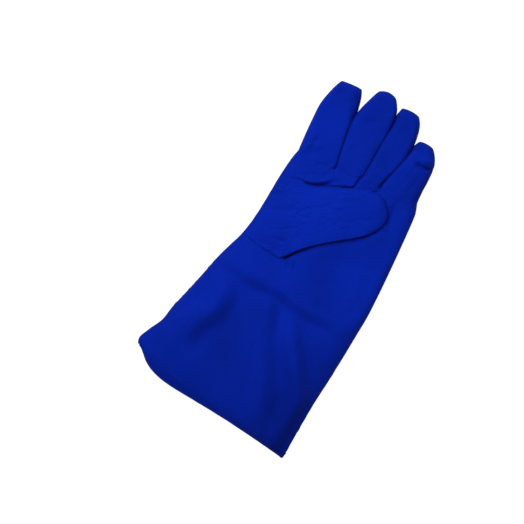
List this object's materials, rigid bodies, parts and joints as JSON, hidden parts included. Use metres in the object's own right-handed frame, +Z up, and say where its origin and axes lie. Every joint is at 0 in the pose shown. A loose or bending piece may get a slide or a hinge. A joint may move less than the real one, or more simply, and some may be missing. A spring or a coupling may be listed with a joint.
{
  "type": "arc flash glove",
  "caption": "Long gauntlet work glove in blue flame-resistant cotton, left hand, lying palm up with its thumb folded over the palm.",
  "frame": {"origin": "centre of the glove's bounding box in plan, on the surface that it lies on", "axes": "+Y along the hand from the cuff to the fingertips, +Z up out of the palm, +X towards the little finger"},
  "size_m": [0.2002, 0.3753, 0.0347],
  "materials": {
    "blue_cotton": "matte royal-blue flame-resistant cotton, quilted in two layers"
  },
  "bodies": {
    "root": {"palm_and_gauntlet_front": "blue_cotton", "index_finger_front": "blue_cotton", "middle_finger_front": "blue_cotton", "ring_finger_front": "blue_cotton", "back": "blue_cotton", "thumb": "blue_cotton", "cuff_hem": "blue_cotton"}
  },
  "joints": []
}
